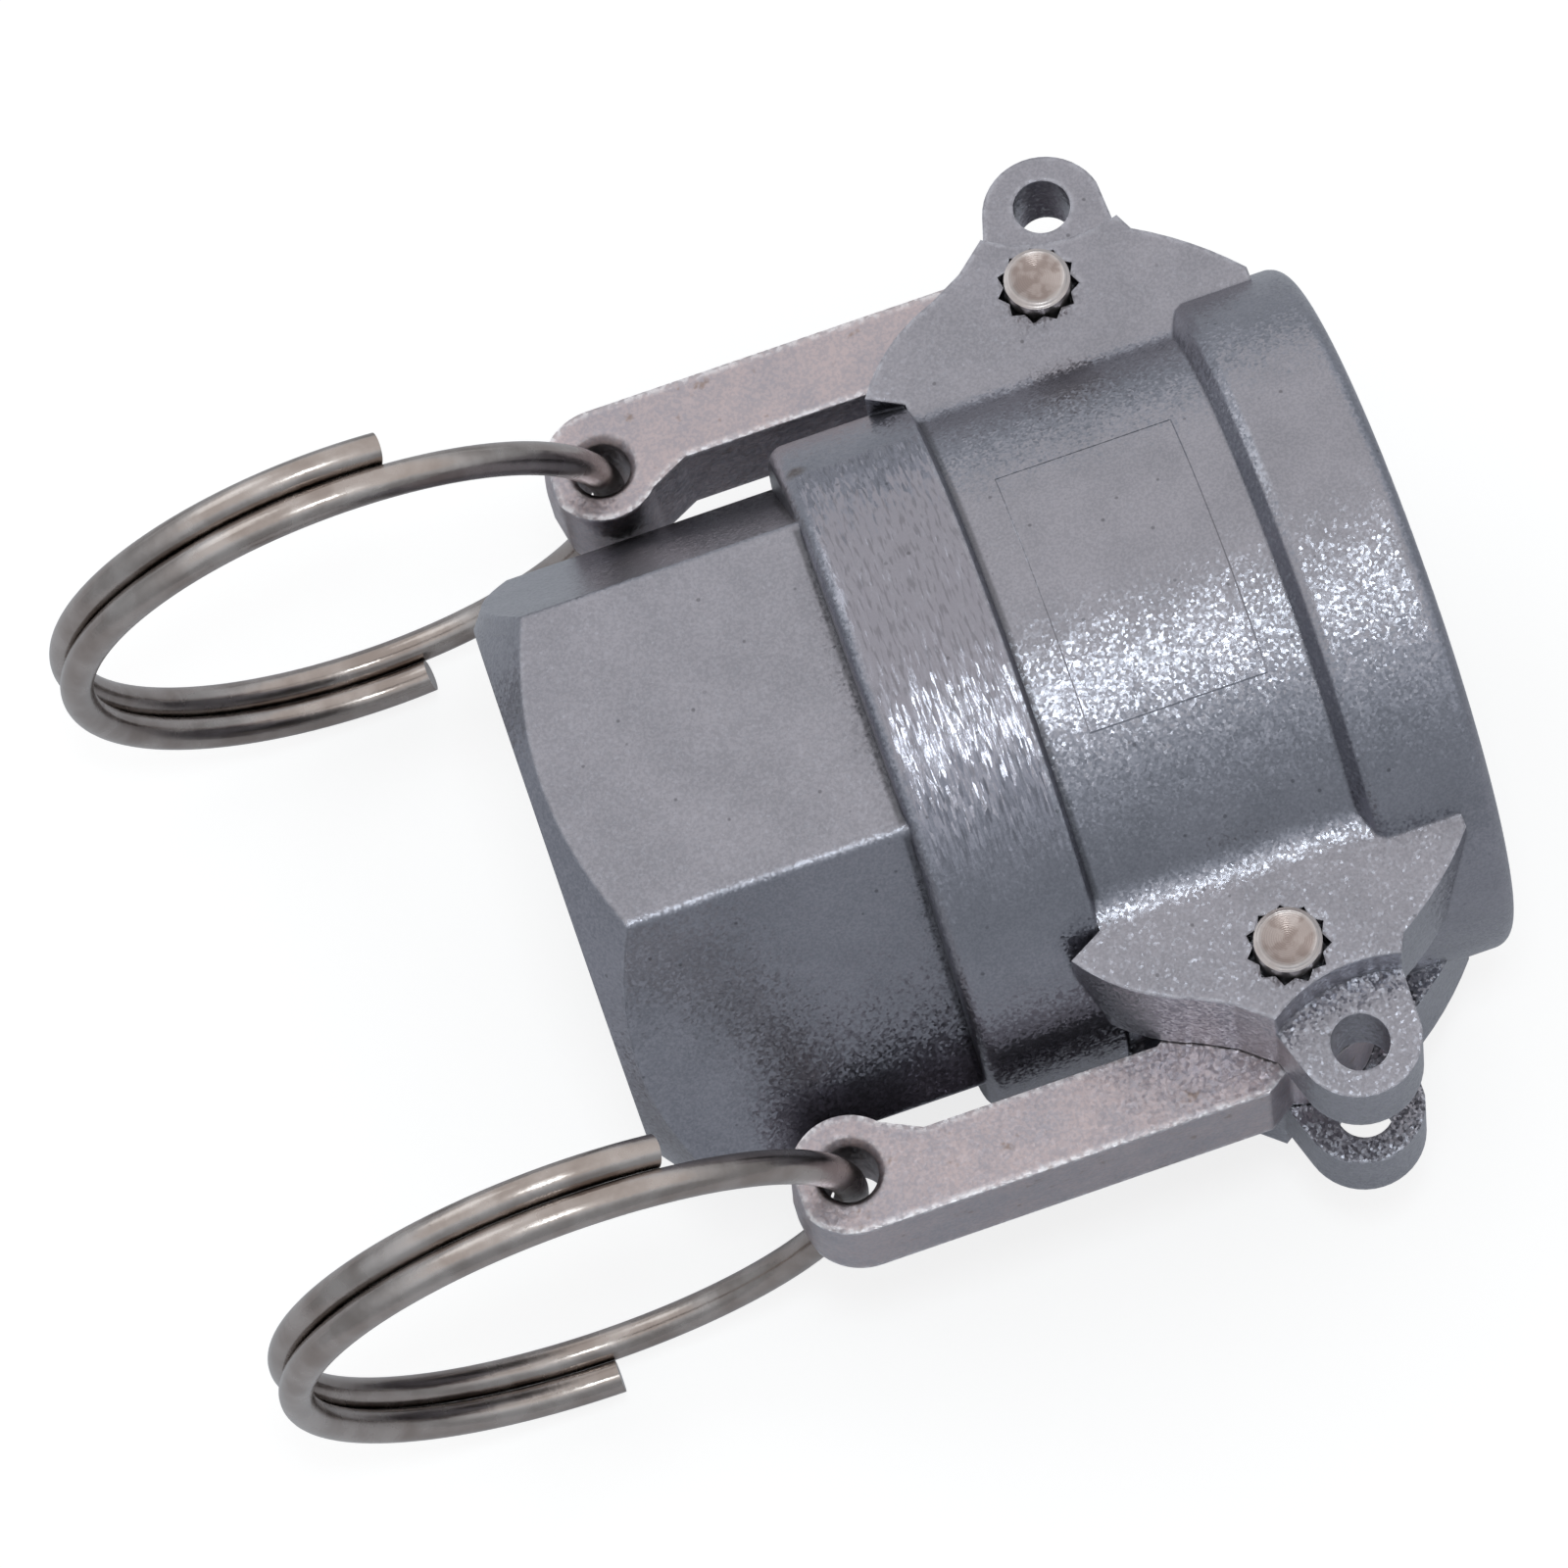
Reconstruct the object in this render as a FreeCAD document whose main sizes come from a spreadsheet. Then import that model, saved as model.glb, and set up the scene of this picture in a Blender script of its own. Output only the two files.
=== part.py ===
import FreeCAD, Part
import math
import os
import re
import Sketcher

# Female cam and groove coupling, 3/4 in class, with a female pipe thread at its hexagon end.
# Frame: X along the bore and out of the socket's mouth, Y across the two arms, Z along the hinge pins.
# Origin: centre of the socket's mouth face. All sizes in millimetres, angles in degrees.

doc = FreeCAD.newDocument("cam_and_groove_coupling")

# Driving sizes, one named cell each
driving_sizes = [
    # cast body, along the bore
    ("body_length", 51.8),
    ("bead_width", 6.85),
    ("bead_slope", 1.0),
    ("collar_front", 23.45),
    ("collar_width", 8.85),
    ("hexagon_chamfer", 2.9),
    # cast body, across the bore
    ("barrel_diameter", 39.3),
    ("bead_step", 1.4),
    ("collar_step", 0.85),
    ("hexagon_flats", 34.5),
    ("hexagon_end_diameter", 32.2),
    ("hexagon_edge_round", 0.6),
    ("cast_round", 1.1),
    # passages inside the body
    ("socket_bore", 32.4),
    ("socket_lead_in", 1.0),
    ("seat_depth", 24.3),
    ("throat_bore", 22.2),
    ("throat_length", 4.5),
    ("thread_bore", 26.4),
    ("thread_runout", 0.8),
    ("thread_lead_in", 1.3),
    # gasket
    ("gasket_outside", 35.2),
    ("gasket_inside", 22.2),
    ("gasket_thickness", 5.5),
    ("gasket_play", 0.05),
    ("gasket_edge", 0.5),
    # hinge pins
    ("pin_from_mouth", 14.05),
    ("pin_over_collar", 1.25),
    ("pin_diameter", 3.9),
    ("pin_proud", 1.2),
    ("pin_bevel", 0.3),
    ("pin_play", 0.03),
    ("notch_reach", 0.5),
    ("notch_depth", 1.4),
    # ears that carry the arms, measured from the pin
    ("ear_face_height", 11.4),
    ("ear_behind_pin", 11.8),
    ("ear_tip_drop", 3.3),
    ("ear_heel_ahead", 2.1),
    ("ear_heel_drop", 4.45),
    ("ear_tip_round", 11),
    ("ear_flank_behind", 6.2),
    ("ear_flank_rise", 1.15),
    ("ear_waist_behind", 4.1),
    ("ear_waist_rise", 2.3),
    ("ear_waist_round", 9),
    ("neck_behind_pin", 2.2),
    ("neck_back_rise", 3.95),
    ("neck_ahead_of_pin", 5.8),
    ("neck_front_rise", 2.65),
    ("ear_knee_ahead", 6.3),
    ("ear_knee_rise", 1.55),
    ("ear_front_round", 22),
    ("ear_ahead_of_pin", 11.8),
    ("ear_front_drop", 3.2),
    ("ear_blend", 3.0),
    ("slot_width", 7.2),
    ("slot_behind_pin", 8.4),
    ("slot_ahead_of_pin", 5.6),
    # lugs with the tether holes
    ("lug_ahead_of_pin", 2.1),
    ("lug_over_pin", 5.95),
    ("lug_radius", 3.65),
    ("lug_drop", 0.4),
    ("lug_root", 1.0),
    ("lug_hole", 3.4),
    ("lug_face_height", 8.7),
    ("lug_back_angle", 16),
    ("lug_front_angle", 12),
    # cam arms, measured from their pin
    ("arm_side_play", 0.2),
    ("arm_pin_play", 0.06),
    ("arm_over_collar", 1.75),
    ("arm_step_behind", 3.3),
    ("arm_head_radius", 4.65),
    ("arm_head_behind", 1.7),
    ("arm_head_rise", 4.32),
    ("arm_head_angle", 8),
    ("cam_bite", 2.35),
    ("cam_nose_radius", 2.6),
    ("cam_nose_behind", 0.6),
    ("cam_front_angle", 20),
    ("cam_back_angle", 10),
    ("cam_heel_behind", 5.2),
    ("cam_heel_drop", 1.6),
    ("grip_start", 8.4),
    ("grip_end", 4.9),
    ("arm_reach", 31.0),
    ("relief_length", 0.5),
    ("relief_depth", 2.0),
    # hole for the pull ring, in the boss at the arm's round end
    ("ring_hole_from_tip", 3.55),
    ("ring_hole", 3.4),
    ("ring_hole_bevel", 0.4),
    ("tip_round", 3.75),
    ("boss_radius", 3.42),
    ("boss_gap", 0.1),
    ("boss_front_angle", 42),
    ("boss_back_angle", 24),
    # split pull rings
    ("ring_wire", 2.0),
    ("ring_radius", 17.0),
    ("ring_turns", 1.574),
    ("ring_gap", 0.05),
    # how each ring hangs in its hole: angle of its first wire end, lean, swing, and its place in the hole
    ("left_ring_end", 73.7),
    ("left_ring_lean", 4.85),
    ("left_ring_swing", 1.43),
    ("left_ring_behind", -0.07),
    ("left_ring_rise", -0.07),
    ("right_ring_end", 65.5),
    ("right_ring_lean", 3.03),
    ("right_ring_swing", 0.64),
    ("right_ring_behind", 0.13),
    ("right_ring_rise", 0.12),
]

# Sizes that follow from the ones above
following_sizes = [
    ("bead_diameter", "barrel_diameter + 2 * bead_step"),
    ("collar_diameter", "barrel_diameter + 2 * collar_step"),
    ("thread_depth", "body_length - seat_depth - gasket_thickness - 2 * gasket_play - throat_length"),
    ("pin_offset", "collar_diameter / 2 + pin_over_collar"),
    ("lug_offset", "pin_offset + lug_over_pin"),
    ("arm_inner", "arm_over_collar - pin_over_collar"),
    ("cam_reach", "pin_offset - socket_bore / 2 + cam_bite"),
    ("ring_hole_reach", "arm_reach - ring_hole_from_tip"),
    ("hexagon_reach", "hexagon_flats / sqrt(3) - hexagon_edge_round * (2 / sqrt(3) - 1)"),
    ("ring_hole_offset", "hexagon_reach + boss_gap + boss_radius - pin_offset"),
    ("arm_outer", "ring_hole_offset + tip_round"),
    ("ring_pitch", "ring_wire + ring_gap"),
]

sheet = doc.addObject("Spreadsheet::Sheet", "sizes")
cells = [(name, str(size)) for name, size in driving_sizes]
cells += [(name, f"={rule}") for name, rule in following_sizes]
for row, (name, content) in enumerate(cells, start=1):
    sheet.set(f"A{row}", name.replace("_", " "))
    sheet.set(f"B{row}", content)
    sheet.setAlias(f"B{row}", name)
    doc.recompute()


def formula(text):
    """Point each size name in a formula at its cell."""
    return re.sub(r"\b([a-z]+(?:_[a-z]+)+)\b", r"sizes.\1", text)


def value(text):
    """Present value of a formula, for the first shape of a sketch."""
    return float(sheet.evalExpression(formula(text)))


def bind(item, prop, text):
    item.setExpression(prop, formula(text))


# Sketches: closed outlines whose corners and radii are bound to the sheet

def new_body(name):
    body = doc.addObject("PartDesign::Body", name)
    body.Label = name
    return body


def new_sketch(body, name, plane, lift=None):
    sketch = body.newObject("Sketcher::SketchObject", name)
    support = next(item for item in body.Origin.OriginFeatures if item.Role == plane)
    sketch.AttachmentSupport = [(support, "")]
    sketch.MapMode = "FlatFace"
    if lift is not None:
        bind(sketch, "AttachmentOffset.Base.z", lift)
    return sketch


def pin_point(sketch, line, end, across, up):
    """Hold one end of a line, or a circle's centre, at a bound place."""
    at_x = sketch.addConstraint(Sketcher.Constraint("DistanceX", -1, 1, line, end, value(across)))
    bind(sketch, f"Constraints[{at_x}]", across)
    at_y = sketch.addConstraint(Sketcher.Constraint("DistanceY", -1, 1, line, end, value(up)))
    bind(sketch, f"Constraints[{at_y}]", up)


def draw_arc(sketch, start, finish, radius, turn):
    """Arc from start to finish. Turn is 1 where it bends to the left on its way, -1 to the right."""
    chord = finish - start
    half = chord.Length / 2
    side = FreeCAD.Vector(-chord.y, chord.x, 0).normalize()
    centre = start + chord / 2 + side * turn * math.sqrt(max(radius ** 2 - half ** 2, 0))
    first, last = (start, finish) if turn > 0 else (finish, start)
    angles = [math.atan2(end.y - centre.y, end.x - centre.x) for end in (first, last)]
    circle = Part.Circle(centre, FreeCAD.Vector(0, 0, 1), radius)
    return sketch.addGeometry(Part.ArcOfCircle(circle, angles[0], angles[1]), False)


def draw_outline(sketch, corners, mirrored=False):
    """Closed outline. A corner is (across, up) and, where an arc follows it, its radius and turn."""
    places = []
    for corner in corners:
        up = f"-({corner[1]})" if mirrored else corner[1]
        places.append((corner[0], up))
    points = [FreeCAD.Vector(value(across), value(up), 0) for across, up in places]
    pieces = []
    for index, corner in enumerate(corners):
        start = points[index]
        finish = points[(index + 1) % len(points)]
        if len(corner) == 2:
            line = sketch.addGeometry(Part.LineSegment(start, finish), False)
            pieces.append((line, 1, 2))
            continue
        turn = -corner[3] if mirrored else corner[3]
        line = draw_arc(sketch, start, finish, value(corner[2]), turn)
        held = sketch.addConstraint(Sketcher.Constraint("Radius", line, value(corner[2])))
        bind(sketch, f"Constraints[{held}]", corner[2])
        pieces.append((line, 1, 2) if turn > 0 else (line, 2, 1))
    for index, (line, start_end, finish_end) in enumerate(pieces):
        next_line, next_start, _ = pieces[(index + 1) % len(pieces)]
        sketch.addConstraint(Sketcher.Constraint("Coincident", line, finish_end, next_line, next_start))
        pin_point(sketch, line, start_end, *places[index])


def draw_circle(sketch, across, up, radius):
    centre = FreeCAD.Vector(value(across), value(up), 0)
    circle = Part.Circle(centre, FreeCAD.Vector(0, 0, 1), value(radius))
    line = sketch.addGeometry(circle, False)
    held = sketch.addConstraint(Sketcher.Constraint("Radius", line, value(radius)))
    bind(sketch, f"Constraints[{held}]", radius)
    pin_point(sketch, line, 3, across, up)


# Features: each adds to or cuts from the body that it is made in

def pad(body, name, sketch, length):
    feature = body.newObject("PartDesign::Pad", name)
    feature.Profile = sketch
    bind(feature, "Length", length)
    return feature


def pocket(body, name, sketch, length):
    feature = body.newObject("PartDesign::Pocket", name)
    feature.Profile = sketch
    bind(feature, "Length", length)
    return feature


def turned(body, name, kind, sketch):
    feature = body.newObject(kind, name)
    feature.Profile = sketch
    feature.ReferenceAxis = (sketch, ["H_Axis"])
    feature.Angle = 360
    return feature


# Coupler body: hexagon, turned barrel with its collar and bead, and a pair of ears on each side

def hexagon_corners():
    """Rounded corners of the hexagon in the YZ plane, with a corner on Y and a flat facing Z."""
    tangent = "hexagon_edge_round / sqrt(3)"
    corners = []
    for step in range(6):
        angle = 60 * step
        for way in (-120, 120):
            spot = (
                f"hexagon_flats / sqrt(3) * cos({angle}) + {tangent} * cos({angle + way})",
                f"hexagon_flats / sqrt(3) * sin({angle}) + {tangent} * sin({angle + way})",
            )
            corners.append(spot + ("hexagon_edge_round", 1) if way < 0 else spot)
    return corners


def ear_corners():
    """Ear seen from above, from inside the barrel out to the step below the lug."""
    root_y = "socket_bore / 3"
    tip_x = "-pin_from_mouth - ear_behind_pin"
    front_x = "-pin_from_mouth + ear_ahead_of_pin"
    heel_x = f"{tip_x} + ear_heel_ahead"
    return [
        (heel_x, root_y),
        (heel_x, "pin_offset - ear_heel_drop"),
        (tip_x, "pin_offset - ear_tip_drop", "ear_tip_round", -1),
        ("-pin_from_mouth - ear_flank_behind", "pin_offset + ear_flank_rise"),
        ("-pin_from_mouth - ear_waist_behind", "pin_offset + ear_waist_rise"),
        ("-pin_from_mouth - neck_behind_pin", "pin_offset + neck_back_rise", "ear_waist_round", 1),
        ("-pin_from_mouth + neck_ahead_of_pin", "pin_offset + neck_front_rise"),
        ("-pin_from_mouth + ear_knee_ahead", "pin_offset + ear_knee_rise", "ear_front_round", -1),
        (front_x, "pin_offset - ear_front_drop"),
        (front_x, root_y),
    ]


def lug_corners():
    """Lug seen from above: a round end on a wedge that runs down between the ear plates."""
    lug_x = "-pin_from_mouth + lug_ahead_of_pin"
    lug_y = "lug_offset - lug_drop"
    return [
        ("-pin_from_mouth - neck_behind_pin", "pin_offset + lug_root"),
        ("-pin_from_mouth - neck_behind_pin", "pin_offset + neck_back_rise"),
        (f"{lug_x} - lug_radius * cos(lug_back_angle)", f"{lug_y} + lug_radius * sin(lug_back_angle)",
         "lug_radius", -1),
        (f"{lug_x} + lug_radius * cos(lug_front_angle)", f"{lug_y} + lug_radius * sin(lug_front_angle)"),
        ("-pin_from_mouth + neck_ahead_of_pin", "pin_offset + neck_front_rise"),
        ("-pin_from_mouth + neck_ahead_of_pin", "pin_offset + lug_root"),
    ]


def cam_slot_corners():
    """Window in the barrel wall that the cam reaches through."""
    back_x = "-pin_from_mouth - slot_behind_pin"
    front_x = "-pin_from_mouth + slot_ahead_of_pin"
    return [
        (back_x, "socket_bore / 3"),
        (back_x, "pin_offset"),
        (front_x, "pin_offset"),
        (front_x, "socket_bore / 3"),
    ]


def outer_profile():
    """Half section of the barrel's outside, from the back of the collar to the mouth."""
    back_x = "-collar_front - collar_width"
    return [
        (back_x, "0"),
        (back_x, "collar_diameter / 2 - cast_round", "cast_round", -1),
        (f"{back_x} + cast_round", "collar_diameter / 2"),
        ("-collar_front - cast_round / 3", "collar_diameter / 2"),
        ("-collar_front", "barrel_diameter / 2"),
        ("-bead_width - bead_slope", "barrel_diameter / 2"),
        ("-bead_width - bead_slope / 4", "bead_diameter / 2 - bead_slope / 4"),
        ("-bead_width + bead_slope / 4", "bead_diameter / 2"),
        ("-cast_round", "bead_diameter / 2", "cast_round", -1),
        ("0", "bead_diameter / 2 - cast_round"),
        ("0", "0"),
    ]


def passage_profile():
    """Half section of the bores: socket, gasket groove, throat and thread."""
    seat_end = "-seat_depth - gasket_thickness - 2 * gasket_play"
    thread_end = "-body_length + thread_depth"
    return [
        ("1", "0"),
        ("1", "socket_bore / 2 + 2 * socket_lead_in"),
        ("-socket_lead_in", "socket_bore / 2"),
        ("-seat_depth", "socket_bore / 2"),
        ("-seat_depth", "gasket_outside / 2 + gasket_play"),
        (seat_end, "gasket_outside / 2 + gasket_play"),
        (seat_end, "throat_bore / 2"),
        (f"{thread_end} + thread_runout", "throat_bore / 2"),
        (thread_end, "thread_bore / 2"),
        ("-body_length + thread_lead_in", "thread_bore / 2"),
        ("-body_length - 1", "thread_bore / 2 + thread_lead_in + 1"),
        ("-body_length - 1", "0"),
    ]


def hexagon_chamfer_profile():
    """Section of the waste that is turned off the hexagon's end corners."""
    spread = "(hexagon_flats / sqrt(3) - hexagon_end_diameter / 2)"
    return [
        ("-body_length", "hexagon_end_diameter / 2"),
        ("-body_length + 2 * hexagon_chamfer", f"hexagon_end_diameter / 2 + 2 * {spread}"),
        ("-body_length - 1", f"hexagon_end_diameter / 2 + 2 * {spread}"),
        ("-body_length - 1", "hexagon_end_diameter / 2"),
    ]


def notch_corners(side):
    """Star of small teeth round a pin, broached into the near ear."""
    teeth = 11
    corners = []
    for step in range(2 * teeth):
        reach = "pin_diameter / 2 + notch_reach" if step % 2 else "pin_diameter / 2 + notch_reach / 8"
        angle = 180 * step / teeth
        corners.append((
            f"-pin_from_mouth + ({reach}) * cos({angle:.3f})",
            f"{side} * pin_offset + ({reach}) * sin({angle:.3f})",
        ))
    return corners


def ear_root_edges(shape):
    """Names of the straight edges where the four ear faces meet the barrel."""
    height = value("ear_face_height")
    root = math.sqrt(value("barrel_diameter / 2") ** 2 - height ** 2)
    names = []
    for index, edge in enumerate(shape.Edges, start=1):
        box = edge.BoundBox
        level = abs(abs(box.ZMin) - height) < 0.01 and box.ZLength < 0.01
        along = box.YLength < 0.01 and abs(abs(box.YMin) - root) < 0.01
        if level and along and box.XLength > value("slot_width"):
            names.append(f"Edge{index}")
    return names


def make_coupler_body():
    body = new_body("coupler_body")
    hexagon = new_sketch(body, "hexagon_outline", "YZ_Plane", "-body_length")
    draw_outline(hexagon, hexagon_corners())
    pad(body, "hexagon", hexagon, "body_length - collar_front - collar_width / 2")
    outside = new_sketch(body, "outside_section", "XY_Plane")
    draw_outline(outside, outer_profile())
    turned(body, "barrel", "PartDesign::Revolution", outside)
    for place, near in (("near", True), ("far", False)):
        lift = "slot_width / 2" if near else "-ear_face_height"
        ears = new_sketch(body, f"{place}_ear_outline", "XY_Plane", lift)
        draw_outline(ears, ear_corners())
        draw_outline(ears, ear_corners(), mirrored=True)
        pad(body, f"{place}_ears", ears, "ear_face_height - slot_width / 2")
        lift = "slot_width / 2" if near else "-lug_face_height"
        lugs = new_sketch(body, f"{place}_lug_outline", "XY_Plane", lift)
        draw_outline(lugs, lug_corners())
        draw_outline(lugs, lug_corners(), mirrored=True)
        pad(body, f"{place}_lugs", lugs, "lug_face_height - slot_width / 2")
    passages = new_sketch(body, "passage_section", "XY_Plane")
    draw_outline(passages, passage_profile())
    turned(body, "passages", "PartDesign::Groove", passages)
    slots = new_sketch(body, "cam_slot_outline", "XY_Plane", "slot_width / 2")
    draw_outline(slots, cam_slot_corners())
    draw_outline(slots, cam_slot_corners(), mirrored=True)
    windowed = pocket(body, "cam_slots", slots, "slot_width")
    doc.recompute()
    blend = body.newObject("PartDesign::Fillet", "ear_blend_fillet")
    blend.Base = (windowed, ear_root_edges(windowed.Shape))
    bind(blend, "Radius", "ear_blend")
    chamfer = new_sketch(body, "hexagon_chamfer_section", "XY_Plane")
    draw_outline(chamfer, hexagon_chamfer_profile())
    turned(body, "hexagon_end_chamfer", "PartDesign::Groove", chamfer)
    holes = new_sketch(body, "hole_layout", "XY_Plane", "ear_face_height + 1")
    for side in (1, -1):
        draw_circle(holes, "-pin_from_mouth", f"{side} * pin_offset", "pin_diameter / 2 + pin_play")
        lug_x = "-pin_from_mouth + lug_ahead_of_pin"
        draw_circle(holes, lug_x, f"{side} * lug_offset", "lug_hole / 2")
    pocket(body, "pin_and_lug_holes", holes, "2 * ear_face_height + 2")
    notches = new_sketch(body, "notch_outline", "XY_Plane", "ear_face_height")
    for side in (1, -1):
        draw_outline(notches, notch_corners(side))
    pocket(body, "pin_notches", notches, "notch_depth")
    return body


# Gasket: flat ring with eased edges, held in its groove behind the socket

def make_gasket():
    body = new_body("gasket")
    section = new_sketch(body, "gasket_section", "XY_Plane")
    front = "-seat_depth - gasket_play"
    back = "-seat_depth - gasket_play - gasket_thickness"
    draw_outline(section, [
        (front, "gasket_inside / 2 + gasket_edge"),
        (front, "gasket_outside / 2 - gasket_edge"),
        (f"{front} - gasket_edge", "gasket_outside / 2"),
        (f"{back} + gasket_edge", "gasket_outside / 2"),
        (back, "gasket_outside / 2 - gasket_edge"),
        (back, "gasket_inside / 2 + gasket_edge"),
        (f"{back} + gasket_edge", "gasket_inside / 2"),
        (f"{front} - gasket_edge", "gasket_inside / 2"),
    ])
    turned(body, "gasket_ring", "PartDesign::Revolution", section)
    return body


# Hinge pin: straight pin with bevelled ends, pressed into the two ear plates

def make_hinge_pin(name, side):
    body = new_body(name)
    length = "2 * ear_face_height + pin_proud"
    shank = new_sketch(body, f"{name}_section", "XZ_Plane")
    draw_outline(shank, [
        ("0", "-ear_face_height"),
        ("pin_diameter / 2 - pin_bevel", "-ear_face_height"),
        ("pin_diameter / 2", "-ear_face_height + pin_bevel"),
        ("pin_diameter / 2", f"-ear_face_height + {length} - pin_bevel"),
        ("pin_diameter / 2 - pin_bevel", f"-ear_face_height + {length}"),
        ("0", f"-ear_face_height + {length}"),
    ])
    feature = turned(body, f"{name}_shank", "PartDesign::Revolution", shank)
    feature.ReferenceAxis = (shank, ["V_Axis"])
    bind(body, "Placement.Base.x", "-pin_from_mouth")
    bind(body, "Placement.Base.y", f"{side} * pin_offset")
    return body


# Cam arm: flat casting in its pin's own frame, with its cam towards the bore and its grip backwards

def arm_corners():
    nose_x = "-cam_nose_behind"
    nose_y = "-(cam_reach - cam_nose_radius)"
    boss_x = "-ring_hole_reach"
    boss_y = "ring_hole_offset"
    return [
        ("-arm_step_behind", "arm_outer"),
        ("-arm_head_behind", "arm_head_rise", "arm_head_radius", -1),
        ("arm_head_radius * cos(arm_head_angle)", "-arm_head_radius * sin(arm_head_angle)"),
        (f"{nose_x} + cam_nose_radius * cos(cam_front_angle)",
         f"{nose_y} - cam_nose_radius * sin(cam_front_angle)", "cam_nose_radius", -1),
        (f"{nose_x} - cam_nose_radius * cos(cam_back_angle)",
         f"{nose_y} - cam_nose_radius * sin(cam_back_angle)"),
        ("-cam_heel_behind", "-cam_heel_drop"),
        ("-grip_start", "arm_inner"),
        (f"{boss_x} + grip_end", "arm_inner"),
        (f"{boss_x} + boss_radius * cos(boss_front_angle)",
         f"{boss_y} - boss_radius * sin(boss_front_angle)", "boss_radius", -1),
        (f"{boss_x} - boss_radius * cos(boss_back_angle)",
         f"{boss_y} - boss_radius * sin(boss_back_angle)"),
        ("-arm_reach", boss_y, "tip_round", -1),
        ("-arm_reach + tip_round", "arm_outer"),
    ]


def ring_hole_rims(shape):
    """Names of the two round edges of the ring's hole."""
    names = []
    for index, edge in enumerate(shape.Edges, start=1):
        curve = edge.Curve
        if isinstance(curve, Part.Circle) and abs(curve.Radius - value("ring_hole / 2")) < 0.001:
            names.append(f"Edge{index}")
    return names


def make_cam_arm(name, side):
    body = new_body(name)
    half = "(slot_width / 2 - arm_side_play)"
    plate = new_sketch(body, f"{name}_outline", "XY_Plane", f"-{half}")
    draw_outline(plate, arm_corners())
    pad(body, f"{name}_plate", plate, f"2 * {half}")
    holes = new_sketch(body, f"{name}_holes", "XY_Plane", half)
    draw_circle(holes, "0", "0", "pin_diameter / 2 + arm_pin_play")
    draw_circle(holes, "-ring_hole_reach", "ring_hole_offset", "ring_hole / 2")
    bores = pocket(body, f"{name}_bores", holes, f"2 * {half}")
    doc.recompute()
    bevel = body.newObject("PartDesign::Chamfer", f"{name}_ring_hole_bevel")
    bevel.Base = (bores, ring_hole_rims(bores.Shape))
    bind(bevel, "Size", "ring_hole_bevel")
    relief = new_sketch(body, f"{name}_relief_section", "XZ_Plane", "-arm_outer - 1")
    for way in (1, -1):
        draw_outline(relief, [
            ("-arm_reach + relief_length", f"{way} * {half}"),
            ("-arm_reach + relief_length", f"{way} * ({half} + 1)"),
            ("-arm_reach - relief_length / 2", f"{way} * ({half} + 1)"),
            ("-arm_reach - relief_length / 2", f"{way} * ({half} - 1.5 * relief_depth)"),
        ])
    pocket(body, f"{name}_end_relief", relief, "2 * arm_outer + 2").Reversed = True
    bind(body, "Placement.Base.x", "-pin_from_mouth")
    bind(body, "Placement.Base.y", f"{side} * pin_offset")
    if side < 0:
        body.Placement.Rotation = FreeCAD.Rotation(FreeCAD.Vector(1, 0, 0), 180)
    return body


# Pull ring: round wire coiled a little over one and a half turns, threaded through its arm

def make_pull_ring(hand, side):
    name = f"pull_ring_{hand}"
    first_end = f"({hand}_ring_end)"
    lean = f"{hand}_ring_lean"
    swing = f"{hand}_ring_swing"
    coil = doc.addObject("Part::Helix", f"{name}_coil")
    bind(coil, "Pitch", "ring_pitch")
    bind(coil, "Height", "ring_pitch * ring_turns")
    bind(coil, "Radius", "ring_radius")
    coil.SegmentLength = 0.25
    section = doc.addObject("Part::Circle", f"{name}_wire_section")
    bind(section, "Radius", "ring_wire / 2")
    bind(section, "Placement.Base.x", f"ring_radius * cos{first_end}")
    bind(section, "Placement.Base.y", f"ring_radius * sin{first_end}")
    spin = FreeCAD.Rotation(FreeCAD.Vector(0, 0, 1), value(first_end))
    coil.Placement.Rotation = spin
    section.Placement.Rotation = spin * FreeCAD.Rotation(FreeCAD.Vector(1, 0, 0), 90)
    ring = doc.addObject("Part::Sweep", name)
    ring.Label = name
    ring.Sections = [section]
    coil.recompute()
    ring.Spine = (coil, [f"Edge{index + 1}" for index in range(len(coil.Shape.Edges))])
    ring.Solid = True
    ring.Frenet = True
    upright = FreeCAD.Rotation(FreeCAD.Vector(1, 0, 0), 90 + value(lean))
    ring.Placement.Rotation = FreeCAD.Rotation(FreeCAD.Vector(0, 0, 1), value(swing)) * upright
    behind = f"({hand}_ring_behind + ring_radius)"
    middle = f"ring_pitch * (1 - {first_end} / 360)"
    across = f"{middle} * cos({lean})"
    hole_x = "-pin_from_mouth - ring_hole_reach"
    hole_y = f"{side} * (pin_offset + ring_hole_offset) + {hand}_ring_rise"
    bind(ring, "Placement.Base.x", f"{hole_x} - {behind} * cos({swing}) - {across} * sin({swing})")
    bind(ring, "Placement.Base.y", f"{hole_y} - {behind} * sin({swing}) + {across} * cos({swing})")
    bind(ring, "Placement.Base.z", f"{middle} * sin({lean})")
    return ring


coupler_body = make_coupler_body()
gasket = make_gasket()
upper_pin = make_hinge_pin("hinge_pin_left", 1)
lower_pin = make_hinge_pin("hinge_pin_right", -1)
upper_arm = make_cam_arm("cam_arm_left", 1)
lower_arm = make_cam_arm("cam_arm_right", -1)
upper_ring = make_pull_ring("left", 1)
lower_ring = make_pull_ring("right", -1)
pieces = [coupler_body, gasket, upper_pin, lower_pin, upper_arm, lower_arm, upper_ring, lower_ring]
doc.recompute()

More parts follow.
